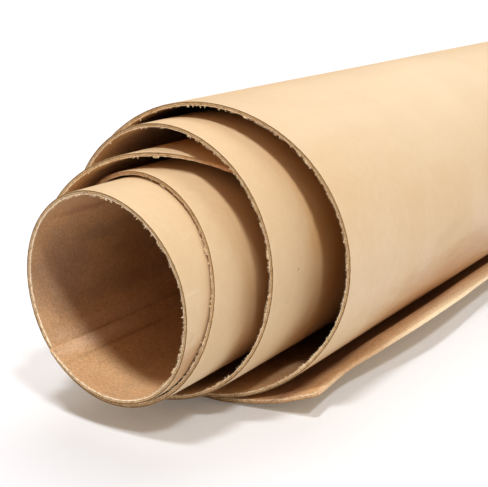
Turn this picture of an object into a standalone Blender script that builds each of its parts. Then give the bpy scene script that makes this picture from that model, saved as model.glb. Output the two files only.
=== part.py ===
"""A double shoulder of vegetable-tanned leather, rolled into a loose, telescoped roll.

The hide is one sheet. It winds outwards round a hollow core that runs along Y, anticlockwise
as seen from the near end (at -Y), smooth grain face outwards, and its outer end rises off the
floor as a short flap. Lengths in the tables are in millimetres.
"""
import math
from typing import Callable, NamedTuple

import bmesh
import bpy
import numpy as np

Curve = Callable[[float], float]
Point = tuple[float, float, float]

MM = 0.001

# Size of the hide as it is rolled
HIDE_THICKNESS = 1.8
CORE_END_LENGTH = 732.0
OUTER_END_LENGTH = 800.0
STATIONS_PER_TURN = 60

# The wound part, as angles round the core: 0 is the right side, 90 the top
FULL_TURN = 360.0
QUARTER_TURN = 90.0
INNER_END_ANGLE = 210.0
FIRST_BOTTOM_ANGLE = 270.0


class Around(NamedTuple):
    """A length at the four sides of one turn, in the order in which the turn passes them."""
    bottom: float
    right: float
    top: float
    left: float


# Reach of the grain face from the core's centre line, a row for each turn from the inside out
INNER_END_REACH = 46.0
REACHES = (
    Around(bottom=39.2, right=37.0, top=49.1, left=51.2),
    Around(bottom=41.6, right=39.8, top=52.0, left=53.7),
    Around(bottom=44.8, right=47.7, top=59.5, left=56.6),
    Around(bottom=47.2, right=51.5, top=70.4, left=61.6),
    Around(bottom=51.7, right=70.2, top=77.9, left=64.2),
)
OUTERMOST_REACH = 54.5
FLOOR_REACH = 54.1

# How far the near edge stands back from the front-most point of the roll, in the same rows
INNER_END_BACK = 14.5
BACKS = (
    Around(bottom=10, right=0, top=1, left=17),
    Around(bottom=13, right=14, top=32, left=61),
    Around(bottom=106, right=108, top=42, left=35),
    Around(bottom=42, right=40, top=47, left=67),
    Around(bottom=64, right=74, top=67, left=72),
)
OUTERMOST_BACK = 70.0


class FreeEdge(NamedTuple):
    """A place along the hide's outer end: its distance from the front of the roll, how far it
    stands out sideways from under the core, and its lift off the floor."""
    back: float
    across: float
    lift: float


FREE_EDGE = (
    FreeEdge(back=66, across=60.4, lift=10.8),
    FreeEdge(back=80, across=59.0, lift=10.1),
    FreeEdge(back=94, across=58.3, lift=10.5),
    FreeEdge(back=110, across=59.2, lift=11.7),
    FreeEdge(back=125, across=62.0, lift=13.1),
    FreeEdge(back=140, across=65.2, lift=15.1),
    FreeEdge(back=165, across=68.4, lift=16.9),
    FreeEdge(back=188, across=69.6, lift=17.8),
    FreeEdge(back=220, across=68.6, lift=17.0),
    FreeEdge(back=260, across=66.4, lift=15.9),
    FreeEdge(back=340, across=65.0, lift=15.2),
    FreeEdge(back=460, across=66.4, lift=15.8),
    FreeEdge(back=620, across=64.6, lift=15.0),
    FreeEdge(back=800, across=66.0, lift=15.6),
)


class FlapPlace(NamedTuple):
    """A place between the core's underside and the free edge: its shares of the free edge's
    distance and lift, and where the near edge stands."""
    out: float
    up: float
    back: float


FLAP = (
    FlapPlace(out=0.10, up=0.0, back=69),
    FlapPlace(out=0.20, up=0.005, back=68),
    FlapPlace(out=0.315, up=0.060, back=67.5),
    FlapPlace(out=0.455, up=0.170, back=67),
    FlapPlace(out=0.60, up=0.315, back=66.5),
    FlapPlace(out=0.737, up=0.505, back=66),
    FlapPlace(out=0.87, up=0.755, back=66),
    FlapPlace(out=1.0, up=1.0, back=66),
)

LEATHER_COLOUR = (0.80, 0.60, 0.38, 1.0)
LEATHER_ROUGHNESS = 0.55


class Station(NamedTuple):
    """A line along the roll where the sheet's section is known. On the flap, out and up are its
    shares of the free edge's distance and lift."""
    x: float
    z: float
    near: float
    far: float
    out: float = 0.0
    up: float = 0.0


def smooth_through(places: list[float], values: list[float]) -> Curve:
    """Return the natural cubic curve that runs through the values at the places."""
    x = np.asarray(places, float)
    y = np.asarray(values, float)
    step = np.diff(x)
    rise = np.diff(y) / step
    count = len(x)
    system = np.eye(count)
    bend = np.zeros(count)
    for i in range(1, count - 1):
        system[i, i - 1:i + 2] = step[i - 1], 2 * (step[i - 1] + step[i]), step[i]
        bend[i] = 6 * (rise[i] - rise[i - 1])
    second = np.linalg.solve(system, bend)

    def value(place: float) -> float:
        i = int(np.clip(np.searchsorted(x, place) - 1, 0, count - 2))
        h = step[i]
        a = (x[i + 1] - place) / h
        b = (place - x[i]) / h
        curve = ((a ** 3 - a) * second[i] + (b ** 3 - b) * second[i + 1]) * h * h / 6
        return float(a * y[i] + b * y[i + 1] + curve)

    return value


def along_the_winding(inner_end: float, turns: tuple[Around, ...], outermost: float) -> Curve:
    """Return a length as a smooth curve of the angle round the core, in degrees."""
    angles = [INNER_END_ANGLE]
    lengths = [inner_end]
    for number, turn in enumerate(turns):
        for side, length in enumerate(turn):
            angles.append(FIRST_BOTTOM_ANGLE + FULL_TURN * number + QUARTER_TURN * side)
            lengths.append(length)
    angles.append(FIRST_BOTTOM_ANGLE + FULL_TURN * len(turns))
    lengths.append(outermost)
    return smooth_through(angles, lengths)


def wound_stations() -> list[Station]:
    """Work out the stations from the inner end of the hide to where it meets the floor."""
    reach_at = along_the_winding(INNER_END_REACH, REACHES, OUTERMOST_REACH)
    back_at = along_the_winding(INNER_END_BACK, BACKS, OUTERMOST_BACK)
    sweep = FIRST_BOTTOM_ANGLE + FULL_TURN * len(REACHES) - INNER_END_ANGLE
    count = round(sweep / FULL_TURN * STATIONS_PER_TURN)
    stations = []
    for i in range(count + 1):
        done = i / count
        angle = INNER_END_ANGLE + sweep * done
        reach = reach_at(angle)
        turned = math.radians(angle)
        z = max(FLOOR_REACH + reach * math.sin(turned), 0.0)
        far = CORE_END_LENGTH + (OUTER_END_LENGTH - CORE_END_LENGTH) * done
        stations.append(Station(reach * math.cos(turned), z, back_at(angle), far))
    return stations


def flap_stations() -> list[Station]:
    """Work out the stations of the outer end, which rises off the floor in a shallow curve."""
    return [Station(0.0, 0.0, p.back, OUTER_END_LENGTH, p.out, p.up) for p in FLAP]


def inward_normals(section: list[tuple[float, float]]) -> list[tuple[float, float]]:
    """Return the direction from the grain face to the flesh face at each point of a section."""
    normals = []
    last = len(section) - 1
    for i in range(len(section)):
        before = section[max(i - 1, 0)]
        after = section[min(i + 1, last)]
        dx, dz = after[0] - before[0], after[1] - before[1]
        length = math.hypot(dx, dz)
        normals.append((-dz / length, dx / length))
    return normals


def face_rows(stations: list[Station], edge: FreeEdge) -> tuple[list[Point], list[Point]]:
    """Return the row of points of the grain face and of the flesh face that ends at a place of
    the free edge."""
    share = (edge.back - FREE_EDGE[0].back) / (FREE_EDGE[-1].back - FREE_EDGE[0].back)
    section = [(s.x + s.out * edge.across, s.z + s.up * edge.lift) for s in stations]
    grain, flesh = [], []
    for s, (x, z), (nx, nz) in zip(stations, section, inward_normals(section)):
        y = s.near + (s.far - s.near) * share
        grain.append((x, y, z))
        flesh.append((x + nx * HIDE_THICKNESS, y, z + nz * HIDE_THICKNESS))
    return grain, flesh


def build_hide() -> bpy.types.Object:
    """Build the rolled hide as one closed solid, its flat resting spot on the floor."""
    stations = wound_stations() + flap_stations()
    mesh = bmesh.new()
    grain, flesh = [], []
    for edge in FREE_EDGE:
        for side, row in zip((grain, flesh), face_rows(stations, edge)):
            side.append([mesh.verts.new(p) for p in row])

    last_row = len(FREE_EDGE) - 1
    last_station = len(stations) - 1
    for i in range(last_station):
        for j in range(last_row):
            mesh.faces.new((grain[j][i], grain[j][i + 1], grain[j + 1][i + 1], grain[j + 1][i]))
            mesh.faces.new((flesh[j][i], flesh[j + 1][i], flesh[j + 1][i + 1], flesh[j][i + 1]))
        for j in (0, last_row):
            mesh.faces.new((grain[j][i], flesh[j][i], flesh[j][i + 1], grain[j][i + 1]))
    for i in (0, last_station):
        for j in range(last_row):
            mesh.faces.new((grain[j][i], grain[j + 1][i], flesh[j + 1][i], flesh[j][i]))
    bmesh.ops.recalc_face_normals(mesh, faces=mesh.faces)

    low = [min(v.co[k] for v in mesh.verts) for k in range(3)]
    high = [max(v.co[k] for v in mesh.verts) for k in range(3)]
    for v in mesh.verts:
        v.co.x = (v.co.x - (low[0] + high[0]) / 2) * MM
        v.co.y = (v.co.y - (low[1] + high[1]) / 2) * MM
        v.co.z = (v.co.z - low[2]) * MM

    data = bpy.data.meshes.new("hide")
    mesh.to_mesh(data)
    mesh.free()
    hide = bpy.data.objects.new("hide", data)
    bpy.context.scene.collection.objects.link(hide)
    return hide


def leather() -> bpy.types.Material:
    """Make the plain finish of natural vegetable-tanned leather."""
    material = bpy.data.materials.new("leather")
    material.use_nodes = True
    shader = material.node_tree.nodes["Principled BSDF"]
    shader.inputs["Base Color"].default_value = LEATHER_COLOUR
    shader.inputs["Roughness"].default_value = LEATHER_ROUGHNESS
    shader.inputs["Metallic"].default_value = 0.0
    return material


def main() -> None:
    """Clear the scene and build the rolled hide."""
    for old in list(bpy.data.objects):
        bpy.data.objects.remove(old)
    hide = build_hide()
    hide.data.materials.append(leather())


if __name__ == "__main__":
    main()
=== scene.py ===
"""A double shoulder of vegetable-tanned leather, rolled up loosely and lying on a white floor.

The hide is one sheet. Its section is a spiral that winds outwards round a hollow core along Y and
ends in a short flap that rises off the floor. A point of the sheet is named by its place on the
unrolled hide: along (from the inner end towards the flap) and back (from the front of the roll
towards its far end). The tables and the sizes of the sheet are in millimetres, and meshes are made
in metres.
"""

import logging
import math
from dataclasses import dataclass, field
from enum import Enum
from typing import Callable, NamedTuple

import bmesh
import bpy
import numpy as np
from mathutils import Euler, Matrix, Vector


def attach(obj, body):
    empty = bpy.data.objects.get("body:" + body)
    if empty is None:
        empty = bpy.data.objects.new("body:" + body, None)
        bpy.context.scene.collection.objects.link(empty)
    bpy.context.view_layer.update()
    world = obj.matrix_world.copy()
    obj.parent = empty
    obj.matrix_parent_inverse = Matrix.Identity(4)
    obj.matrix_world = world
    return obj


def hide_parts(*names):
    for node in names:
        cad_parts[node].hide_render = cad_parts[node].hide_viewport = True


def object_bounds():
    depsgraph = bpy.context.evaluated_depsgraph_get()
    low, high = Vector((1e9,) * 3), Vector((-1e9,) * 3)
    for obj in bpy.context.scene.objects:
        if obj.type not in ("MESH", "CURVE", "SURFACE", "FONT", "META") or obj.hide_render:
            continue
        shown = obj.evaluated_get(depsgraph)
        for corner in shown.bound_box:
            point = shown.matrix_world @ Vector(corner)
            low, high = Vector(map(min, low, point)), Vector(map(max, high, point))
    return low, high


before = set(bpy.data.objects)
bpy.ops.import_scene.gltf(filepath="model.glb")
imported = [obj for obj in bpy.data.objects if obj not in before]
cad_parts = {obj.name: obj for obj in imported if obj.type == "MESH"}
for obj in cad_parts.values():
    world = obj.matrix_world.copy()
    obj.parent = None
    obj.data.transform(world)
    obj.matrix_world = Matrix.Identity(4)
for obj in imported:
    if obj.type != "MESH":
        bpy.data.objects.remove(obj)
cad_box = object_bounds()

log = logging.getLogger("rolled_hide")

MM = 0.001
FULL_TURN = 360.0
QUARTER_TURN = 90.0
BODY = "root"
NODE = "hide"
UV_NAME = "unrolled"
DEPTH_NAME = "depth"

WHITE = (1.0, 1.0, 1.0, 1.0)
FEWEST_BENDS = 4
FACE_TOLERANCE = 0.01

Array = np.ndarray
Curve = Callable[[Array], Array]
Face = tuple[int, ...]
Colour = tuple[float, float, float, float]
Sockets = bpy.types.bpy_prop_collection


class Around(NamedTuple):
    """A length at the four sides of one turn, in the order in which the turn passes them."""
    bottom: float
    right: float
    top: float
    left: float


class FreeEdge(NamedTuple):
    """A place along the hide's outer end: its distance from the front of the roll, how far it
    stands out sideways from under the core, and its lift off the floor."""
    back: float
    across: float
    lift: float


class FlapPlace(NamedTuple):
    """A place between the core's underside and the free edge: its shares of the free edge's
    distance and lift, and where the near edge stands."""
    out: float
    up: float
    back: float


# Reach of the grain face from the core's centre line, a row for each turn from the inside out
REACHES = (
    Around(bottom=39.2, right=37.0, top=49.1, left=51.2),
    Around(bottom=41.6, right=39.8, top=52.0, left=53.7),
    Around(bottom=44.8, right=47.7, top=59.5, left=56.6),
    Around(bottom=47.2, right=51.5, top=70.4, left=61.6),
    Around(bottom=51.7, right=70.2, top=77.9, left=64.2),
)
# How far the near edge stands back from the front-most point of the roll, in the same rows
BACKS = (
    Around(bottom=10, right=0, top=1, left=17),
    Around(bottom=13, right=14, top=32, left=61),
    Around(bottom=106, right=108, top=42, left=35),
    Around(bottom=42, right=40, top=47, left=67),
    Around(bottom=64, right=74, top=67, left=72),
)
# The free edge, from its near corner to beyond the far end of the roll
FREE_EDGE = (
    FreeEdge(back=66, across=60.4, lift=10.8),
    FreeEdge(back=80, across=59.0, lift=10.1),
    FreeEdge(back=94, across=58.3, lift=10.5),
    FreeEdge(back=110, across=59.2, lift=11.7),
    FreeEdge(back=125, across=62.0, lift=13.1),
    FreeEdge(back=140, across=65.2, lift=15.1),
    FreeEdge(back=165, across=68.4, lift=16.9),
    FreeEdge(back=188, across=69.6, lift=17.8),
    FreeEdge(back=220, across=68.6, lift=17.0),
    FreeEdge(back=260, across=66.4, lift=15.9),
    FreeEdge(back=340, across=65.0, lift=15.2),
    FreeEdge(back=460, across=66.4, lift=15.8),
    FreeEdge(back=620, across=64.6, lift=15.0),
    FreeEdge(back=800, across=66.0, lift=15.6),
)
# The flap, from the core's underside out to the free edge
FLAP = (
    FlapPlace(out=0.10, up=0.0, back=69),
    FlapPlace(out=0.20, up=0.005, back=68),
    FlapPlace(out=0.315, up=0.060, back=67.5),
    FlapPlace(out=0.455, up=0.170, back=67),
    FlapPlace(out=0.60, up=0.315, back=66.5),
    FlapPlace(out=0.737, up=0.505, back=66),
    FlapPlace(out=0.87, up=0.755, back=66),
    FlapPlace(out=1.0, up=1.0, back=66),
)


class Finish(Enum):
    """The three finishes of the hide, in the order of its material slots."""
    GRAIN = 0
    FLESH = 1
    CUT = 2


def smooth_through(places: list[float], values: list[float]) -> Curve:
    """Make the natural cubic curve that runs through the values at the places.

    Args:
        places: Rising places.
        values: The curve's value at each place.

    Returns:
        A function from an array of places to an array of values.
    """
    x = np.asarray(places, float)
    y = np.asarray(values, float)
    step = np.diff(x)
    rise = np.diff(y) / step
    count = len(x)
    system = np.eye(count)
    bend = np.zeros(count)
    for i in range(1, count - 1):
        system[i, i - 1:i + 2] = step[i - 1], 2 * (step[i - 1] + step[i]), step[i]
        bend[i] = 6 * (rise[i] - rise[i - 1])
    second = np.linalg.solve(system, bend)

    def value(place: Array) -> Array:
        """Find the curve's value at each place.

        Args:
            place: The places.

        Returns:
            The values.
        """
        i = np.clip(np.searchsorted(x, place) - 1, 0, count - 2)
        h = step[i]
        a = (x[i + 1] - place) / h
        b = (place - x[i]) / h
        curve = ((a ** 3 - a) * second[i] + (b ** 3 - b) * second[i + 1]) * h * h / 6
        return a * y[i] + b * y[i + 1] + curve

    return value


def eased(share: Array) -> Array:
    """Return shares from 0 to 1 eased in and out."""
    return share * share * (3 - 2 * share)


def wander(places: Array, wavelength: float, seed: int, period: float) -> Array:
    """Make a smooth random line between about -1 and 1 that closes on itself.

    Args:
        places: Distances along the line.
        wavelength: Distance between the line's bends.
        seed: Which line.
        period: Length after which the line repeats.

    Returns:
        The line's value at each place.
    """
    count = max(FEWEST_BENDS, round(period / wavelength))
    knots = np.random.default_rng(seed).uniform(-1, 1, count)
    at = (places / period * count) % count
    low = np.floor(at).astype(int)
    part = eased(at - low)
    return knots[low % count] * (1 - part) + knots[(low + 1) % count] * part


def add_object(name: str, data: bpy.types.ID) -> bpy.types.Object:
    """Put a mesh, a light or a camera in the scene.

    Args:
        name: The object's name.
        data: What it shows.

    Returns:
        The object, at the origin.
    """
    made = bpy.data.objects.new(name, data)
    bpy.context.scene.collection.objects.link(made)
    return made


class Wiring:
    """A node tree that is being wired, with short ways to add its nodes."""

    def __init__(self, tree: bpy.types.NodeTree) -> None:
        """Start on a tree."""
        self.tree = tree

    def node(self, kind: str, inputs: dict[str | int, object] | None = None,
             **settings: object) -> bpy.types.Node:
        """Add a node.

        Args:
            kind: The node's type.
            inputs: What goes into its inputs, by their names or numbers.
            settings: Its properties.

        Returns:
            The node.
        """
        made = self.tree.nodes.new(kind)
        for name, value in settings.items():
            setattr(made, name, value)
        self.feed(made, inputs or {})
        return made

    def feed(self, node: bpy.types.Node, inputs: dict[str | int, object]) -> None:
        """Link or set inputs of a node.

        Args:
            node: The node.
            inputs: A socket or a plain value for each input, by its name or number.
        """
        for name, value in inputs.items():
            if isinstance(value, bpy.types.NodeSocket):
                self.tree.links.new(value, node.inputs[name])
            else:
                node.inputs[name].default_value = value

    def result(self, outputs: dict[str, object]) -> bpy.types.NodeTree:
        """Feed the group's outputs and return the tree."""
        self.node("NodeGroupOutput", outputs)
        return self.tree

    def math(self, operation: str, a: object, b: object) -> bpy.types.NodeSocket:
        """Combine two values."""
        return self.node("ShaderNodeMath", {0: a, 1: b}, operation=operation).outputs[0]

    def vector(self, operation: str, inputs: dict[str | int, object]) -> bpy.types.NodeSocket:
        """Combine vectors into a vector."""
        return self.node("ShaderNodeVectorMath", inputs, operation=operation).outputs["Vector"]

    def ramp(self, value: object, low: object, high: object, start: object = 0.0,
             end: object = 1.0, smooth: bool = True) -> bpy.types.NodeSocket:
        """Turn a value between low and high into one between start and end.

        Args:
            value: The value to change.
            low: Where the result is start.
            high: Where the result is end.
            start: The result at low and before it.
            end: The result at high and after it.
            smooth: Whether the change eases in and out.

        Returns:
            The result's socket.
        """
        kind = "SMOOTHSTEP" if smooth else "LINEAR"
        inputs = dict(enumerate((value, low, high, start, end)))
        made = self.node("ShaderNodeMapRange", inputs, interpolation_type=kind, clamp=True)
        return made.outputs[0]

    def blend(self, factor: object, a: object, b: object) -> bpy.types.NodeSocket:
        """Blend two colours."""
        return self.node("ShaderNodeMix", {0: factor, 6: a, 7: b}, data_type="RGBA").outputs[2]

    def noise(self, vector: bpy.types.NodeSocket, scale: object, detail: float = 2.0,
              roughness: float = 0.5) -> bpy.types.NodeSocket:
        """Add a noise and return its value."""
        inputs = {"Vector": vector, "Scale": scale, "Detail": detail, "Roughness": roughness}
        return self.node("ShaderNodeTexNoise", inputs).outputs[0]


def start_group(name: str, inputs: dict[str, str], outputs: dict[str, str],
                tree: str = "ShaderNodeTree") -> Wiring:
    """Start a node group.

    Args:
        name: The group's name.
        inputs: The kind of each input, by its name, such as "Vector", "Float" or "Color".
        outputs: The kind of each output, in the same way.
        tree: The type of its tree.

    Returns:
        The group's wiring.
    """
    group = bpy.data.node_groups.new(name, tree)
    for side, sockets in (("INPUT", inputs), ("OUTPUT", outputs)):
        for socket, kind in sockets.items():
            group.interface.new_socket(socket, in_out=side, socket_type=f"NodeSocket{kind}")
    return Wiring(group)


@dataclass
class Winding:
    """The rolled section of the hide and the places of its near and far edges."""
    thickness: float = 1.8
    core_end_length: float = 732.0
    outer_end_length: float = 800.0
    inner_end_angle: float = 210.0
    first_bottom_angle: float = 270.0
    inner_end_reach: float = 46.0
    inner_end_back: float = 14.5
    outermost_reach: float = 54.5
    outermost_back: float = 70.0
    floor_reach: float = 54.1
    flap_across: float = 65.0
    flap_lift: float = 15.5
    angle_step: float = 0.5
    flap_step: float = 0.008
    grid_step: float = 0.4
    edge_smoothing: float = 5.0
    swell: float = 0.004
    swell_length: float = 210.0
    inner_taper: float = 9.0
    inner_end_share: float = 0.3
    lip_height: float = 0.21
    lip_centre: float = 0.83
    lip_reach: float = 0.17
    lip_from: float = 108.0
    lip_full: float = 150.0

    def __post_init__(self) -> None:
        """Work out the section once, as arrays over the distance along the sheet."""
        base_x, base_z, out, up, near, far = self._raw_section()
        flat_x = np.diff(base_x + out * self.flap_across)
        flat_z = np.diff(base_z + up * self.flap_lift)
        run = np.concatenate([[0.0], np.cumsum(np.hypot(flat_x, flat_z))])
        self.length = float(run[-1])
        self.along = np.linspace(0.0, self.length, round(self.length / self.grid_step))
        self.base_x, self.base_z, self.out, self.up, near, self.far = (
            np.interp(self.along, run, values) for values in (base_x, base_z, out, up, near, far))
        self.near = self._smoothed(near)
        self.slopes = [
            self._smoothed(np.gradient(v)) for v in (self.base_x, self.base_z, self.out, self.up)]
        backs = [e.back for e in FREE_EDGE]
        self.across = smooth_through(backs, [e.across for e in FREE_EDGE])
        self.lift = smooth_through(backs, [e.lift for e in FREE_EDGE])
        self.middle_x = (self.base_x.min() + self.base_x.max()) / 2
        self.far_y = cad_box[1].y / MM

    def _around(self, inner: float, turns: tuple[Around, ...], outer: float) -> Curve:
        """Turn a table of turns into a smooth curve of the angle round the core.

        Args:
            inner: The length at the inner end.
            turns: The length at the sides of each turn, from the inside out.
            outer: The length under the core, where the flap starts.

        Returns:
            The length as a function of the angle.
        """
        angles, lengths = [self.inner_end_angle], [inner]
        for number, turn in enumerate(turns):
            for side, length in enumerate(turn):
                angles.append(self.first_bottom_angle + FULL_TURN * number + QUARTER_TURN * side)
                lengths.append(length)
        angles.append(self.first_bottom_angle + FULL_TURN * len(turns))
        lengths.append(outer)
        return smooth_through(angles, lengths)

    def _raw_section(self) -> tuple[Array, ...]:
        """Work out the section's stations from the inner end to the free edge.

        Returns:
            x and z round the core, the shares of the free edge's distance and lift, and the
            places of the near edge and the far edge.
        """
        last_angle = self.first_bottom_angle + FULL_TURN * len(REACHES)
        angle = np.arange(self.inner_end_angle, last_angle + self.angle_step / 2, self.angle_step)
        reach = self._around(self.inner_end_reach, REACHES, self.outermost_reach)(angle)
        near = self._around(self.inner_end_back, BACKS, self.outermost_back)(angle)
        turned = np.radians(angle)
        x = reach * np.cos(turned)
        z = np.maximum(self.floor_reach + reach * np.sin(turned), 0.0)
        done = (angle - self.inner_end_angle) / (last_angle - self.inner_end_angle)
        far = self.core_end_length + (self.outer_end_length - self.core_end_length) * done

        outs = [0.0] + [p.out for p in FLAP]
        up_at = smooth_through(outs, [0.0] + [p.up for p in FLAP])
        back_at = smooth_through(outs, [self.outermost_back] + [p.back for p in FLAP])
        out = np.arange(self.flap_step, 1 + self.flap_step / 2, self.flap_step)
        none, still = np.zeros(len(angle)), np.zeros(len(out))
        return (
            np.concatenate([x, still]), np.concatenate([z, still]), np.concatenate([none, out]),
            np.concatenate([none, np.maximum(up_at(out), 0.0)]),
            np.concatenate([near, back_at(out)]),
            np.concatenate([far, np.full(len(out), self.outer_end_length)]))

    def _smoothed(self, values: Array) -> Array:
        """Average values over a few millimetres of the sheet.

        Args:
            values: A value for each station of the section.

        Returns:
            The averages.
        """
        half = round(self.edge_smoothing / self.grid_step / 2)
        kernel = np.hanning(2 * half + 3)
        before = 2 * values[0] - values[half + 1:0:-1]
        after = 2 * values[-1] - values[-2:-half - 3:-1]
        padded = np.concatenate([before, values, after])
        return np.convolve(padded, kernel / kernel.sum(), "valid")

    def near_at(self, along: Array) -> Array:
        """Return where the near edge stands, for each place along the sheet."""
        return np.interp(along, self.along, self.near)

    def far_at(self, along: Array) -> Array:
        """Return where the far edge stands, for each place along the sheet."""
        return np.interp(along, self.along, self.far)

    def place(self, along: Array, back: Array, depth: Array) -> Array:
        """Roll points of the flat hide up.

        Args:
            along: Distance from the inner end, for each point.
            back: Distance from the front of the roll, for each point.
            depth: Distance from the grain face towards the flesh face, for each point.

        Returns:
            The points' places, in metres, in three columns.
        """
        across, lift = self.across(back), self.lift(back)
        base_x, base_z, out, up = (
            np.interp(along, self.along, v) for v in (self.base_x, self.base_z, self.out, self.up))
        depth = depth * np.interp(along, (0.0, self.inner_taper), (self.inner_end_share, 1.0))
        up = up + self._lip(out, back)
        inward_x, inward_z = self.inward(along, back)
        x = base_x + out * across + inward_x * depth - self.middle_x
        z = base_z + up * lift + inward_z * depth
        y = self.far_y - (self.outer_end_length - back)
        wave = np.sin(math.tau * back / self.swell_length) * np.cos(np.arctan2(z, x))
        stretch = 1 + self.swell * wave
        return np.stack([x * stretch, y, z * stretch], axis=1) * MM

    def _lip(self, out: Array, back: Array) -> Array:
        """Work out how far the flap's outer part is raised into a soft lip.

        Args:
            out: Share of the way out to the free edge, for each point.
            back: Distance from the front of the roll, for each point.

        Returns:
            The rise, as a share of the free edge's lift.
        """
        part = eased(np.clip((back - self.lip_from) / (self.lip_full - self.lip_from), 0, 1))
        share = np.cos(np.clip((out - self.lip_centre) / self.lip_reach, -1, 1) * math.pi / 2) ** 2
        return self.lip_height * part * np.where(out < 1, share, 0)

    def inward(self, along: Array, back: Array) -> tuple[Array, Array]:
        """Return the direction from the grain face to the flesh face at points of the hide.

        Args:
            along: Distance from the inner end, for each point.
            back: Distance from the front of the roll, for each point.

        Returns:
            The direction's x and z.
        """
        base_x, base_z, out, up = (np.interp(along, self.along, v) for v in self.slopes)
        slope_x = base_x + out * self.across(back)
        slope_z = base_z + up * self.lift(back)
        size = np.hypot(slope_x, slope_z)
        return -slope_z / size, slope_x / size


class RimPoint(NamedTuple):
    """A point of the cut edge's profile, from the grain face round to the flesh face."""
    inset: float
    depth_share: float
    roughness: float


RIM = (
    RimPoint(inset=1.7, depth_share=0.0, roughness=0.0),
    RimPoint(inset=0.55, depth_share=0.0, roughness=0.02),
    RimPoint(inset=0.17, depth_share=0.03, roughness=0.05),
    RimPoint(inset=0.0, depth_share=0.16, roughness=0.10),
    RimPoint(inset=0.05, depth_share=0.42, roughness=0.16),
    RimPoint(inset=0.0, depth_share=0.70, roughness=0.22),
    RimPoint(inset=0.10, depth_share=0.93, roughness=0.30),
    RimPoint(inset=0.50, depth_share=1.0, roughness=0.20),
    RimPoint(inset=1.7, depth_share=1.0, roughness=0.0),
)
# The strips between the profile's points that show the cut, counted from the grain face
FIRST_CUT_STRIP = 2
LAST_CUT_STRIP = 6


class Crease(NamedTuple):
    """A soft ridge along a line on one face of the flat hide, or a trough if its rise is below 0.

    Its line is given as places (along, back), its reach is how far it spreads to each side.
    """
    finish: Finish
    line: tuple[tuple[float, float], ...]
    reach: float
    rise: float


CREASES = (
    Crease(Finish.FLESH,
           ((3.6, 14), (5.5, 29), (6.6, 48), (8.4, 82), (11.6, 104), (13, 150)), 2.0, 0.16),
    Crease(Finish.GRAIN, ((126, 6), (122, 7), (115, 8), (109, 11)), 1.6, -0.10),
    Crease(Finish.GRAIN, ((119, 16), (112, 19), (104, 26)), 1.8, -0.08),
    Crease(Finish.GRAIN, ((374, 14), (380, 19), (384, 27)), 1.6, -0.10),
)
# Stretches along the hide that need closer set columns, for the creases
FINE_STRETCHES = ((0.0, 15.0), (102.0, 130.0), (372.0, 386.0))


@dataclass
class Points:
    """Points of the sheet, collected with their depth as a share of the thickness."""
    along: list[Array] = field(default_factory=list)
    back: list[Array] = field(default_factory=list)
    depth: list[Array] = field(default_factory=list)
    count: int = 0

    def add(self, along: Array, back: Array, depth: Array) -> Array:
        """Add points.

        Args:
            along: Distance from the inner end, for each point.
            back: Distance from the front of the roll, for each point.
            depth: Depth as a share of the thickness, for each point.

        Returns:
            The points' numbers.
        """
        for store, values in ((self.along, along), (self.back, back), (self.depth, depth)):
            store.append(np.ravel(values))
        first = self.count
        self.count += np.size(along)
        return np.arange(first, self.count)


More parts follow.
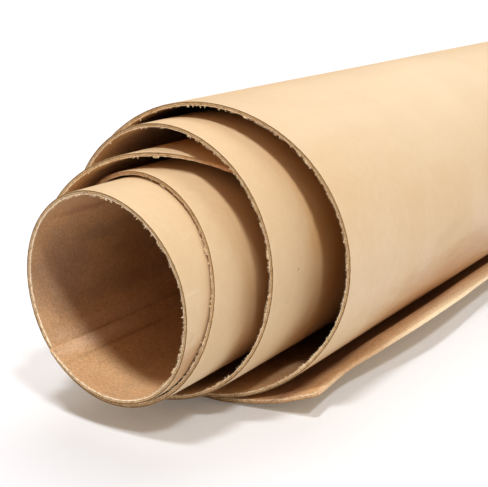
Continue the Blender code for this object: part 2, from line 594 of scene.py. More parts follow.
@dataclass
class Hide:
    """The leather sheet: grain face, flesh face, and a rounded, ragged cut edge all round.

    The cut shows the flesh finish within plain_end of the inner end, and of the free edge from
    plain_from to plain_to behind the front.
    """
    winding: Winding
    column_step: float = 4.4
    fine_step: float = 1.1
    rows: int = 60
    even_share: float = 0.18
    row_power: float = 2.2
    margin: float = 3.3
    rim_step: float = 1.6
    near_rim_step: float = 0.62
    corner_smoothing: float = 2.5
    cut_wobble: float = 0.2
    cut_wobble_length: float = 24.0
    rag_length: float = 1.5
    rag_depth: float = 0.3
    wobble_seed: int = 11
    inset_seed: int = 100
    depth_seed: int = 200
    plain_end: float = 1.0
    plain_from: float = 68.5
    plain_to: float = 700.0

    def build(self) -> bpy.types.Object:
        """Build the sheet's mesh.

        Returns:
            The hide, at the origin, with its unrolled UV map and its depth attribute.
        """
        points = Points()
        faces: list[Face] = []
        kinds: list[int] = []
        grain, flesh = self._faces_of_sheet(points, faces, kinds)
        rim_along, rim_back = self._outline()
        loops = self._rim(points, rim_along, rim_back)
        plain = self._plain(rim_along, rim_back)
        for strip, (a, b) in enumerate(zip(loops, loops[1:])):
            cut = FIRST_CUT_STRIP <= strip <= LAST_CUT_STRIP
            kind = Finish.CUT if cut else Finish.GRAIN if strip < FIRST_CUT_STRIP else Finish.FLESH
            faces += list(zip(a, np.roll(a, -1), np.roll(b, -1), b))
            kinds += np.where(plain & cut, Finish.FLESH.value, kind.value).tolist()
        along, back = np.concatenate(points.along), np.concatenate(points.back)
        for border, loop, kind in (
                (grain, loops[0], Finish.GRAIN), (flesh, loops[-1], Finish.FLESH)):
            joined = self._bridge(border, loop, along, back)
            faces += joined
            kinds += [kind.value] * len(joined)
        return self._mesh(points, faces, kinds)

    def _plain(self, along: Array, back: Array) -> Array:
        """Find the points of the outline whose cut face shows the flesh finish.

        Args:
            along: The outline, along the sheet.
            back: The outline, from the front of the roll.

        Returns:
            Whether each point is one of them.
        """
        inner = along < self.plain_end
        free = (self.winding.length - along < self.plain_end) & (back > self.plain_from)
        return (inner | free) & (back < self.plain_to)

    def _columns(self) -> Array:
        """Set out the columns of the sheet, closer where there are creases.

        Returns:
            The columns' places along the sheet.
        """
        places = [self.margin]
        last = self.winding.length - self.margin
        while places[-1] < last:
            fine = any(low < places[-1] < high for low, high in FINE_STRETCHES)
            places.append(places[-1] + (self.fine_step if fine else self.column_step))
        return np.array(places) * (last / places[-1])

    def _faces_of_sheet(self, points: Points, faces: list[Face],
                        kinds: list[int]) -> tuple[Array, Array]:
        """Lay both faces of the sheet as grids.

        Args:
            points: Collects the grids' points.
            faces: Collects the grids' faces.
            kinds: Collects the finish of each face.

        Returns:
            The border loops of the grain grid and of the flesh grid.
        """
        w = self.winding
        along = self._columns()
        near, far = w.near_at(along), w.far_at(along)
        lean = np.sqrt(1 + np.gradient(near, along) ** 2)
        near, far = near + self.margin * lean, far - self.margin
        share = np.linspace(0, 1, self.rows)
        share = self.even_share * share + (1 - self.even_share) * share ** self.row_power
        back = near[:, None] + (far - near)[:, None] * share[None, :]
        wide = np.repeat(along[:, None], self.rows, axis=1)
        borders = []
        for kind, depth in ((Finish.GRAIN, 0.0), (Finish.FLESH, 1.0)):
            grid = points.add(wide, back, np.full(wide.shape, depth)).reshape(wide.shape)
            quads = np.stack([grid[:-1, :-1], grid[1:, :-1], grid[1:, 1:], grid[:-1, 1:]], axis=-1)
            faces += [tuple(q) for q in quads.reshape(-1, 4)]
            kinds += [kind.value] * (quads.size // 4)
            borders.append(np.concatenate([
                grid[:-1, 0], grid[-1, :-1], grid[:0:-1, -1], grid[0, :0:-1]]))
        return borders[0], borders[1]

    def _outline(self) -> tuple[Array, Array]:
        """Draw the outline of the flat hide, with round corners.

        Returns:
            The outline's points, closer set on the near edge: along and back.
        """
        w = self.winding
        step = self.near_rim_step / 2
        near_along = w.along[::2]
        right = np.arange(w.near[-1], w.far[-1], step)
        left = np.arange(w.far[0], w.near[0], -step)
        along = np.concatenate([
            near_along, np.full(len(right), w.length), near_along[::-1], np.zeros(len(left))])
        back = np.concatenate([w.near_at(near_along), right, w.far_at(near_along[::-1]), left])
        along, back = self._spaced(along, back, np.full(len(along), step))
        half = round(self.corner_smoothing / step)
        kernel = np.hanning(2 * half + 1)
        kernel = kernel / kernel.sum()
        along, back = (
            np.convolve(np.concatenate([v[-half:], v, v[:half]]), kernel, "valid")
            for v in (along, back))
        near = back < w.near_at(along) + self.corner_smoothing
        return self._spaced(along, back, np.where(near, self.near_rim_step, self.rim_step))

    @staticmethod
    def _spaced(along: Array, back: Array, steps: Array) -> tuple[Array, Array]:
        """Return a closed line with its points set the given steps apart.

        Args:
            along: The line, along the sheet.
            back: The line, from the front of the roll.
            steps: The spacing that each of its points asks for.

        Returns:
            The new line.
        """
        x, y = np.append(along, along[0]), np.append(back, back[0])
        lengths = np.hypot(np.diff(x), np.diff(y))
        counted = np.concatenate([[0.0], np.cumsum(lengths / steps)])
        at = np.linspace(0, counted[-1], round(counted[-1]), endpoint=False)
        return np.interp(at, counted, x), np.interp(at, counted, y)

    def _rim(self, points: Points, along: Array, back: Array) -> list[Array]:
        """Sweep the cut edge's profile round the outline.

        Args:
            points: Collects the rim's points.
            along: The outline, along the sheet.
            back: The outline, from the front of the roll.

        Returns:
            A loop of point numbers for each point of the profile.
        """
        heading_a = np.roll(along, -1) - np.roll(along, 1)
        heading_b = np.roll(back, -1) - np.roll(back, 1)
        size = np.hypot(heading_a, heading_b)
        in_a, in_b = -heading_b / size, heading_a / size
        run = np.cumsum(np.hypot(along - np.roll(along, 1), back - np.roll(back, 1)))
        period = float(run[-1])
        wobble = wander(run, self.cut_wobble_length, self.wobble_seed, period)
        wobble = self.cut_wobble * (1 + wobble)
        loops = []
        for number, p in enumerate(RIM):
            rag = p.roughness * (
                1 + wander(run, self.rag_length, self.inset_seed + number, period))
            inset = p.inset + rag + wobble
            ragged = wander(run, self.rag_length, self.depth_seed + number, period)
            depth = np.clip(p.depth_share + self.rag_depth * p.roughness * ragged, 0.0, 1.0)
            loops.append(points.add(along + in_a * inset, back + in_b * inset, depth))
        return loops

    @staticmethod
    def _bridge(border: Array, loop: Array, along: Array, back: Array) -> list[Face]:
        """Join two loops that run beside each other with triangles.

        Args:
            border: The inner loop's point numbers.
            loop: The outer loop's point numbers.
            along: Every point's place along the sheet.
            back: Every point's distance from the front.

        Returns:
            The triangles.
        """
        def gap(a: int, b: int) -> float:
            """Return the distance between two points on the flat hide."""
            return math.hypot(along[a] - along[b], back[a] - back[b])

        first = border[0]
        start = np.argmin(np.hypot(along[loop] - along[first], back[loop] - back[first]))
        outer = np.roll(loop, -int(start))
        i, j = 0, 0
        n, m = len(border), len(outer)
        triangles = []
        while i < n or j < m:
            a, b = border[i % n], outer[j % m]
            next_a, next_b = border[(i + 1) % n], outer[(j + 1) % m]
            if j >= m or (i < n and gap(next_a, b) < gap(a, next_b)):
                triangles.append((a, next_a, b))
                i += 1
            else:
                triangles.append((a, next_b, b))
                j += 1
        return triangles

    @staticmethod
    def _creased(along: Array, back: Array, depth: Array) -> Array:
        """Work out how far each point moves towards the flesh side for the creases.

        Args:
            along: Distance from the inner end, for each point.
            back: Distance from the front of the roll, for each point.
            depth: Depth as a share of the thickness, for each point.

        Returns:
            The move of each point.
        """
        moved = np.zeros(len(along))
        for crease in CREASES:
            nearest = np.full(len(along), np.inf)
            for (a0, b0), (a1, b1) in zip(crease.line, crease.line[1:]):
                da, db = a1 - a0, b1 - b0
                part = ((along - a0) * da + (back - b0) * db) / (da * da + db * db)
                part = np.clip(part, 0, 1)
                away = np.hypot(along - a0 - part * da, back - b0 - part * db)
                nearest = np.minimum(nearest, away)
            on_flesh = crease.finish is Finish.FLESH
            face = depth > 1 - FACE_TOLERANCE if on_flesh else depth < FACE_TOLERANCE
            rise = crease.rise * np.exp(-(nearest / crease.reach) ** 2)
            moved += np.where(face, rise if on_flesh else -rise, 0.0)
        return moved

    def _mesh(self, points: Points, faces: list[Face], kinds: list[int]) -> bpy.types.Object:
        """Roll the points up and make the mesh with its UV map and its depth attribute.

        Args:
            points: The sheet's points.
            faces: The point numbers of each face.
            kinds: The finish of each face.

        Returns:
            The hide.
        """
        along, back = np.concatenate(points.along), np.concatenate(points.back)
        depth = np.concatenate(points.depth)
        raised = self._creased(along, back, depth)
        places = self.winding.place(along, back, depth * self.winding.thickness + raised)
        data = bpy.data.meshes.new("hide_sheet")
        data.from_pydata(places.tolist(), [], [tuple(int(i) for i in f) for f in faces])
        data.polygons.foreach_set("material_index", kinds)
        shares = data.attributes.new(DEPTH_NAME, "FLOAT", "POINT").data
        shares.foreach_set("value", depth.astype(np.float32))
        corner = np.zeros(len(data.loops), int)
        data.loops.foreach_get("vertex_index", corner)
        uv = np.stack([along[corner], back[corner]], axis=1) * MM
        data.uv_layers.new(name=UV_NAME).data.foreach_set("uv", uv.astype(np.float32).ravel())
        work = bmesh.new()
        work.from_mesh(data)
        bmesh.ops.recalc_face_normals(work, faces=work.faces)
        work.to_mesh(data)
        work.free()
        data.shade_smooth()
        data.update()
        log.info("hide_sheet: %d points, %d faces", len(data.vertices), len(data.polygons))
        return add_object("hide_sheet", data)


# Places along the near edge where a tuft of fibres stands out
TUFTS = (82, 90, 137, 368, 416, 452, 782, 985, 1028, 1053, 1432, 1464, 1480, 1513)
# Stretches of the near edge that are cut clean, with hardly a loose fibre
CLEAN_STRETCHES = ((205, 300), (435, 890), (1120, 1262), (1540, 1784))


@dataclass
class Fibres:
    """The loose fibres that stand out of the cut edge's flesh corner.

    A fibre is a bent line with a middle and a tip, whose places are shares of its length.
    """
    winding: Winding
    from_depth: float = 0.82
    near_band: float = 6.0
    length: float = 0.68
    width: float = 0.23
    tip_width_share: float = 0.6
    density: float = 4.2e6
    seed: int = 5
    spread: float = 0.75
    shortest: float = 0.45
    longest: float = 1.5
    least_fray: float = 0.5
    clean_share: float = 0.12
    tuft_reach: float = 1.3
    tuft_gain: float = 4.0
    patch_length: float = 9.0
    patch_seed: int = 31
    forward: float = 0.9
    middle_up: float = 0.6
    tip_out: float = 0.5
    tip_up: float = 0.85
    sides: int = 3
    bends: int = 2

    def build(self, hide: bpy.types.Object, material: bpy.types.Material) -> bpy.types.Object:
        """Grow the fibres.

        Args:
            hide: The finished hide, whose cut edge carries them.
            material: The fibres' finish.

        Returns:
            The fibres as one plain mesh.
        """
        guide = self._guide(hide)
        tree = self._tree()
        modifier = guide.modifiers.new("fibres", "NODES")
        modifier.node_group = tree
        sizes = {
            "Density": self.density, "Length": self.length * MM, "Width": self.width * MM,
            "Tip Share": self.tip_width_share, "Spread": self.spread, "Shortest": self.shortest,
            "Longest": self.longest, "Seed": self.seed, "Material": material}
        for item in tree.interface.items_tree:
            if item.in_out == "INPUT" and item.name in sizes:
                modifier[item.identifier] = sizes[item.name]
        graph = bpy.context.evaluated_depsgraph_get()
        data = bpy.data.meshes.new_from_object(guide.evaluated_get(graph), depsgraph=graph)
        bpy.data.objects.remove(guide)
        data.name = "edge_fibres"
        # The strip's own slot is empty and comes before the fibres' finish
        data.materials.pop(index=0)
        for vertex in data.vertices:
            vertex.co.z = max(vertex.co.z, 0.0)
        log.info("edge_fibres: %d points, %d faces", len(data.vertices), len(data.polygons))
        return add_object("edge_fibres", data)

    def _looseness(self, along: float) -> float:
        """Work out how freely fibres grow at a place of the near edge.

        Args:
            along: The place along the sheet.

        Returns:
            The growth, 1 for an average place.
        """
        line = wander(np.array([along]), self.patch_length, self.patch_seed, self.winding.length)
        patch = 0.5 + 0.5 * float(line[0])
        clean = any(low < along < high for low, high in CLEAN_STRETCHES)
        loose = (self.least_fray + patch ** 2) * (self.clean_share if clean else 1.0)
        tuft = max(math.exp(-((along - t) / self.tuft_reach) ** 2) for t in TUFTS)
        return loose + self.tuft_gain * tuft

    def _guide(self, hide: bpy.types.Object) -> bpy.types.Object:
        """Make the strip of the near cut edge on which the fibres grow.

        Args:
            hide: The finished hide.

        Returns:
            The strip, with how freely the fibres grow and which way they lean as attributes.
        """
        source = hide.data
        unrolled = source.uv_layers[UV_NAME].data
        depth = source.attributes[DEPTH_NAME].data
        numbers: dict[int, int] = {}
        corners, faces, fray, lean = [], [], [], []
        for face in source.polygons:
            if face.material_index != Finish.CUT.value:
                continue
            place = [unrolled[i].uv for i in face.loop_indices]
            along = sum(p.x for p in place) / len(place) / MM
            back = sum(p.y for p in place) / len(place) / MM
            here = np.array([along])
            near = float(self.winding.near_at(here)[0]) + self.near_band
            if min(depth[v].value for v in face.vertices) <= self.from_depth or back >= near:
                continue
            looseness = self._looseness(along)
            flesh_x, flesh_z = (float(v[0]) for v in self.winding.inward(here, np.array([back])))
            for v in face.vertices:
                if v not in numbers:
                    numbers[v] = len(corners)
                    corners.append(source.vertices[v].co.copy())
                    fray.append(looseness)
                    lean.append((flesh_x, -self.forward, flesh_z))
            faces.append([numbers[v] for v in face.vertices])
        data = bpy.data.meshes.new("frayed_edge")
        data.from_pydata(corners, [], faces)
        data.attributes.new("fray", "FLOAT", "POINT").data.foreach_set("value", fray)
        data.attributes.new("lean", "FLOAT_VECTOR", "POINT").data.foreach_set(
            "vector", np.array(lean, np.float32).ravel())
        return add_object("frayed_edge", data)

    def _tree(self) -> bpy.types.NodeTree:
        """Build the tree that grows a bent, tapering fibre at each random place.

        Returns:
            The tree.
        """
        sizes = ("Density", "Length", "Width", "Tip Share", "Spread", "Shortest", "Longest")
        inputs = {"Geometry": "Geometry", **dict.fromkeys(sizes, "Float"),
                  "Seed": "Int", "Material": "Material"}
        w = start_group("edge_fibres", inputs, {"Geometry": "Geometry"}, "GeometryNodeTree")
        given = w.node("NodeGroupInput").outputs
        fray = w.node("GeometryNodeInputNamedAttribute", {"Name": "fray"}, data_type="FLOAT")
        places = w.node("GeometryNodeDistributePointsOnFaces", {
            "Mesh": given["Geometry"], "Seed": given["Seed"],
            "Density": w.math("MULTIPLY", fray.outputs["Attribute"], given["Density"]),
        }, distribute_method="RANDOM")
        size = w.node("FunctionNodeRandomValue", {2: given["Shortest"], 3: given["Longest"]},
                      data_type="FLOAT")
        grown = w.node("GeometryNodeInstanceOnPoints", {
            "Points": places.outputs["Points"], "Instance": self._fibre(w, given),
            "Rotation": self._heading(w, given), "Scale": size.outputs[1]})
        real = w.node("GeometryNodeRealizeInstances", {"Geometry": grown.outputs["Instances"]})
        dressed = w.node("GeometryNodeSetMaterial", {
            "Geometry": real.outputs["Geometry"], "Material": given["Material"]})
        return w.result({"Geometry": dressed.outputs["Geometry"]})

    def _fibre(self, w: Wiring, given: Sockets) -> bpy.types.NodeSocket:
        """Add the nodes that make one bent, tapering fibre.

        Args:
            w: The tree's wiring.
            given: The outputs of the group's input node.

        Returns:
            The fibre's mesh.
        """
        middle = w.node("ShaderNodeCombineXYZ", {
            "Z": w.math("MULTIPLY", given["Length"], self.middle_up)})
        tip = w.node("ShaderNodeCombineXYZ", {
            "X": w.math("MULTIPLY", given["Length"], self.tip_out),
            "Z": w.math("MULTIPLY", given["Length"], self.tip_up)})
        line = w.node("GeometryNodeCurveQuadraticBezier", {
            "Resolution": self.bends, "Start": (0, 0, 0), "Middle": middle.outputs[0],
            "End": tip.outputs[0]})
        share = w.node("GeometryNodeSplineParameter").outputs["Factor"]
        thin = w.node("GeometryNodeSetCurveRadius", {
            "Curve": line.outputs["Curve"],
            "Radius": w.ramp(share, 0.0, 1.0, 1.0, given["Tip Share"], smooth=False)})
        ring = w.node("GeometryNodeCurvePrimitiveCircle", {
            "Resolution": self.sides, "Radius": w.math("MULTIPLY", given["Width"], 0.5),
        }, mode="RADIUS")
        return w.node("GeometryNodeCurveToMesh", {
            "Curve": thin.outputs["Curve"], "Profile Curve": ring.outputs["Curve"],
            "Fill Caps": True}).outputs["Mesh"]

    @staticmethod
    def _heading(w: Wiring, given: Sockets) -> bpy.types.NodeSocket:
        """Add the nodes that aim a fibre along its lean, strayed and rolled at random.

        Args:
            w: The tree's wiring.
            given: The outputs of the group's input node.

        Returns:
            The fibre's rotation.
        """
        lean = w.node("GeometryNodeInputNamedAttribute", {"Name": "lean"},
                      data_type="FLOAT_VECTOR")
        stray = w.node("FunctionNodeRandomValue", {
            "Min": (-1, -1, -1), "Max": (1, 1, 1), "Seed": given["Seed"]},
            data_type="FLOAT_VECTOR")
        scaled = w.vector("SCALE", {0: stray.outputs["Value"], "Scale": given["Spread"]})
        heading = w.vector("ADD", {0: lean.outputs["Attribute"], 1: scaled})
        aimed = w.node("FunctionNodeAlignRotationToVector", {"Vector": heading}, axis="Z")
        turn = w.node("FunctionNodeRandomValue", {2: 0.0, 3: math.tau}, data_type="FLOAT")
        roll = w.node("FunctionNodeAxisAngleToRotation", {
            "Axis": (0, 0, 1), "Angle": turn.outputs[1]})
        return w.node("FunctionNodeRotateRotation", {
            "Rotation": aimed.outputs["Rotation"], "Rotate By": roll.outputs["Rotation"],
        }, rotation_space="LOCAL").outputs["Rotation"]


class Effects:
    """The surface effects that the hide's finishes share, built once as node groups."""

    CURL_SCALE = 0.35
    CURL = (0.004, 0.004, 0.004)
    COARSE_SCALE = 0.22
    FINE_SHARE = 0.65
    BORDER_SCALE = 2.2
    BORDER_UNEVENNESS = 0.9

    def __init__(self) -> None:
        """Build the groups."""
        self.mottle = self._mottle()
        self.nap = self._nap()
        self.soft_mark = self._soft_mark()
        self.speckle = self._speckle()

    @staticmethod
    def _mottle() -> bpy.types.NodeTree:
        """Make soft cloudy unevenness at two sizes, as tanning leaves it.

        Returns:
            The group.
        """
        w = start_group("tanning_mottle",
                        {"Vector": "Vector", "Cloud Scale": "Float", "Fleck Scale": "Float"},
                        {"Clouds": "Float", "Flecks": "Float"})
        given = w.node("NodeGroupInput").outputs
        clouds = w.noise(given["Vector"], given["Cloud Scale"], detail=3.0, roughness=0.55)
        flecks = w.noise(given["Vector"], given["Fleck Scale"], roughness=0.6)
        return w.result({"Clouds": w.ramp(clouds, low=0.32, high=0.68),
                         "Flecks": w.ramp(flecks, low=0.3, high=0.7)})

    def _nap(self) -> bpy.types.NodeTree:
        """Make the short fuzz of a cut or flesh face, as a mask and a height.

        Returns:
            The group.
        """
        w = start_group("leather_nap", {"Vector": "Vector", "Scale": "Float"},
                        {"Fuzz": "Float", "Height": "Float"})
        given = w.node("NodeGroupInput").outputs
        curl = w.node("ShaderNodeTexNoise", {
            "Vector": given["Vector"],
            "Scale": w.math("MULTIPLY", given["Scale"], self.CURL_SCALE)})
        bent = w.vector("MULTIPLY_ADD", {
            0: curl.outputs["Color"], 1: self.CURL, 2: given["Vector"]})
        fine = w.noise(bent, given["Scale"], detail=3.0, roughness=0.6)
        coarse = w.noise(
            given["Vector"], w.math("MULTIPLY", given["Scale"], self.COARSE_SCALE))
        both = w.math("ADD", w.math("MULTIPLY", fine, self.FINE_SHARE),
                      w.math("MULTIPLY", coarse, 1 - self.FINE_SHARE))
        return w.result({"Fuzz": w.ramp(both, low=0.34, high=0.66), "Height": both})

    @staticmethod
    def _speckle() -> bpy.types.NodeTree:
        """Make very fine light and dark specks over a colour.

        Returns:
            The group.
        """
        w = start_group(
            "fine_speckle",
            {"Color": "Color", "Vector": "Vector", "Scale": "Float", "Contrast": "Float"},
            {"Color": "Color"})
        given = w.node("NodeGroupInput").outputs
        fine = w.noise(given["Vector"], given["Scale"], roughness=0.75)
        centred = w.math("SUBTRACT", w.ramp(fine, low=0.3, high=0.7, smooth=False), 0.5)
        change = w.math("ADD", w.math("MULTIPLY", centred, given["Contrast"]), 1.0)
        return w.result({"Color": w.vector("SCALE", {0: given["Color"], "Scale": change})})

    def _soft_mark(self) -> bpy.types.NodeTree:
        """Make a soft oval mark with an uneven border, round a place on the hide.

        Returns:
            The group.
        """
        w = start_group(
            "soft_mark",
            {"Vector": "Vector", "Place": "Vector", "Reach": "Vector", "Core": "Float"},
            {"Mask": "Float"})
        given = w.node("NodeGroupInput").outputs
        away = w.vector("SUBTRACT", {0: given["Vector"], 1: given["Place"]})
        scaled = w.vector("DIVIDE", {0: away, 1: given["Reach"]})
        share = w.node("ShaderNodeVectorMath", {0: scaled}, operation="LENGTH").outputs["Value"]
        border = w.noise(scaled, self.BORDER_SCALE, detail=3.0, roughness=0.6)
        uneven = w.math("MULTIPLY", w.math("SUBTRACT", border, 0.5), self.BORDER_UNEVENNESS)
        share = w.math("ADD", share, uneven)
        return w.result({"Mask": w.ramp(share, given["Core"], 1.0, start=1.0, end=0.0)})


# The share of a mark's reach in which it is at its full strength
MARK_CORE = 0.1


class Mark(NamedTuple):
    """A soft mark on one face of the hide: its place and how far it reaches both ways, in
    millimetres, how strong it is, and its colour."""
    along: float
    back: float
    reach_along: float
    reach_back: float
    strength: float
    colour: Colour


def start_material(name: str) -> tuple[bpy.types.Material, Wiring, bpy.types.Node]:
    """Start a material.

    Args:
        name: The material's name.

    Returns:
        The material, its wiring and its Principled BSDF.
    """
    material = bpy.data.materials.new(name)
    material.use_nodes = True
    return material, Wiring(material.node_tree), material.node_tree.nodes["Principled BSDF"]


def depth_share(w: Wiring) -> bpy.types.NodeSocket:
    """Return the depth in the hide, as a share of its thickness."""
    return w.node("ShaderNodeAttribute", attribute_name=DEPTH_NAME).outputs["Fac"]


def place_on_hide(w: Wiring, thickness: float) -> bpy.types.NodeSocket:
    """Find the place on the unrolled hide.

    Args:
        w: The material's wiring.
        thickness: The hide's thickness, in millimetres.

    Returns:
        The place in metres: along, back and depth.
    """
    flat = w.node("ShaderNodeUVMap", uv_map=UV_NAME)
    parts = w.node("ShaderNodeSeparateXYZ", {0: flat.outputs["UV"]}).outputs
    depth = w.math("MULTIPLY", depth_share(w), thickness * MM)
    place = w.node("ShaderNodeCombineXYZ", {"X": parts["X"], "Y": parts["Y"], "Z": depth})
    return place.outputs[0]


def use(w: Wiring, group: bpy.types.NodeTree, **values: object) -> Sockets:
    """Place a shared effect in a material, _ for a space in an input's name."""
    named = {name.replace("_", " "): value for name, value in values.items()}
    return w.node("ShaderNodeGroup", named, node_tree=group).outputs


def add_marks(w: Wiring, effects: Effects, place: bpy.types.NodeSocket, depth: float,
              marks: tuple[Mark, ...], colour: bpy.types.NodeSocket) -> bpy.types.NodeSocket:
    """Lay marks over a face's colour.

    Args:
        w: The material's wiring.
        effects: The shared effects.
        place: The place on the unrolled hide.
        depth: The face's distance from the grain face, in millimetres.
        marks: The marks.
        colour: The colour under them.

    Returns:
        The colour with the marks.
    """
    for m in marks:
        centre = (m.along * MM, m.back * MM, depth * MM)
        reach = (m.reach_along * MM, m.reach_back * MM, 1.0)
        mark = use(w, effects.soft_mark, Vector=place, Place=centre, Reach=reach, Core=MARK_CORE)
        colour = w.blend(w.math("MULTIPLY", mark["Mask"], m.strength), colour, m.colour)
    return colour


def bump(w: Wiring, height: bpy.types.NodeSocket, depth: float,
         strength: float) -> bpy.types.NodeSocket:
    """Make a fine relief, depth in millimetres, and return its normal."""
    relief = {"Strength": strength, "Distance": depth * MM, "Height": height}
    return w.node("ShaderNodeBump", relief).outputs["Normal"]


@dataclass(frozen=True)
class GrainFinish:
    """The smooth, undyed hair side: pale tan, with faint clouds, fine pores and a soft gloss."""
    pale: Colour = (0.755, 0.575, 0.355, 1.0)
    deep: Colour = (0.73, 0.54, 0.32, 1.0)
    fleck: Colour = (0.69, 0.495, 0.28, 1.0)
    roughness: float = 0.52
    roughness_range: float = 0.08
    specular: float = 0.45
    cloud_scale: float = 22.0
    fleck_scale: float = 190.0
    speck_scale: float = 1700.0
    speck_contrast: float = 0.16
    fleck_share: float = 0.35
    pore_scale: float = 1500.0
    pore_depth: float = 0.05
    pore_strength: float = 0.5
    marks: tuple[Mark, ...] = (
        # A small dark speck on the fourth turn
        Mark(1042.4, 63.0, 0.9, 0.6, 0.9, (0.22, 0.11, 0.05, 1.0)),
        # Painted shade: reddish brown along the lower side of the outermost turn, where it turns
        # away from the light
        Mark(1394.0, 228.0, 38.0, 150.0, 0.95, (0.52, 0.28, 0.115, 1.0)),
        # Painted shade: golden brown on the fourth, second and third turns, where the next turn
        # over them casts its shade
        Mark(1062.0, 106.0, 85.0, 42.0, 0.85, (0.62, 0.32, 0.08, 1.0)),
        Mark(402.0, 62.0, 70.0, 34.0, 0.6, (0.60, 0.35, 0.13, 1.0)),
        Mark(762.0, 82.0, 75.0, 32.0, 0.8, (0.95, 0.45, 0.12, 1.0)),
        # A pale scuff on the innermost turn; painted light: the outermost turn's top paler where
        # the light falls on it; painted shade: the core's foot darker where it sits on the next
        # turn
        Mark(116.5, 5.0, 1.5, 9.0, 0.6, (0.80, 0.65, 0.42, 1.0)),
        Mark(1503.0, 270.0, 64.0, 290.0, 0.8, (0.79, 0.655, 0.455, 1.0)),
        Mark(84.0, 9.0, 18.0, 18.0, 0.9, (0.50, 0.28, 0.13, 1.0)),
    )

    def make(self, effects: Effects, thickness: float) -> bpy.types.Material:
        """Build the material.

        Args:
            effects: The shared effects.
            thickness: The hide's thickness, in millimetres.

        Returns:
            The material.
        """
        material, w, shader = start_material("leather_grain")
        place = place_on_hide(w, thickness)
        mottle = use(w, effects.mottle, Vector=place, Cloud_Scale=self.cloud_scale,
                     Fleck_Scale=self.fleck_scale)
        colour = w.blend(mottle["Clouds"], self.pale, self.deep)
        flecks = w.math("MULTIPLY", mottle["Flecks"], self.fleck_share)
        colour = w.blend(flecks, colour, self.fleck)
        colour = add_marks(w, effects, place, 0.0, self.marks, colour)
        specks = use(w, effects.speckle, Color=colour, Vector=place, Scale=self.speck_scale,
                     Contrast=self.speck_contrast)
        low, high = self.roughness - self.roughness_range, self.roughness + self.roughness_range
        pores = w.math("ADD", w.noise(place, self.pore_scale, roughness=0.6), mottle["Flecks"])
        w.feed(shader, {
            "Base Color": specks["Color"],
            "Roughness": w.ramp(mottle["Clouds"], 0.0, 1.0, start=low, end=high),
            "Specular IOR Level": self.specular,
            "Normal": bump(w, pores, self.pore_depth, self.pore_strength)})
        return material


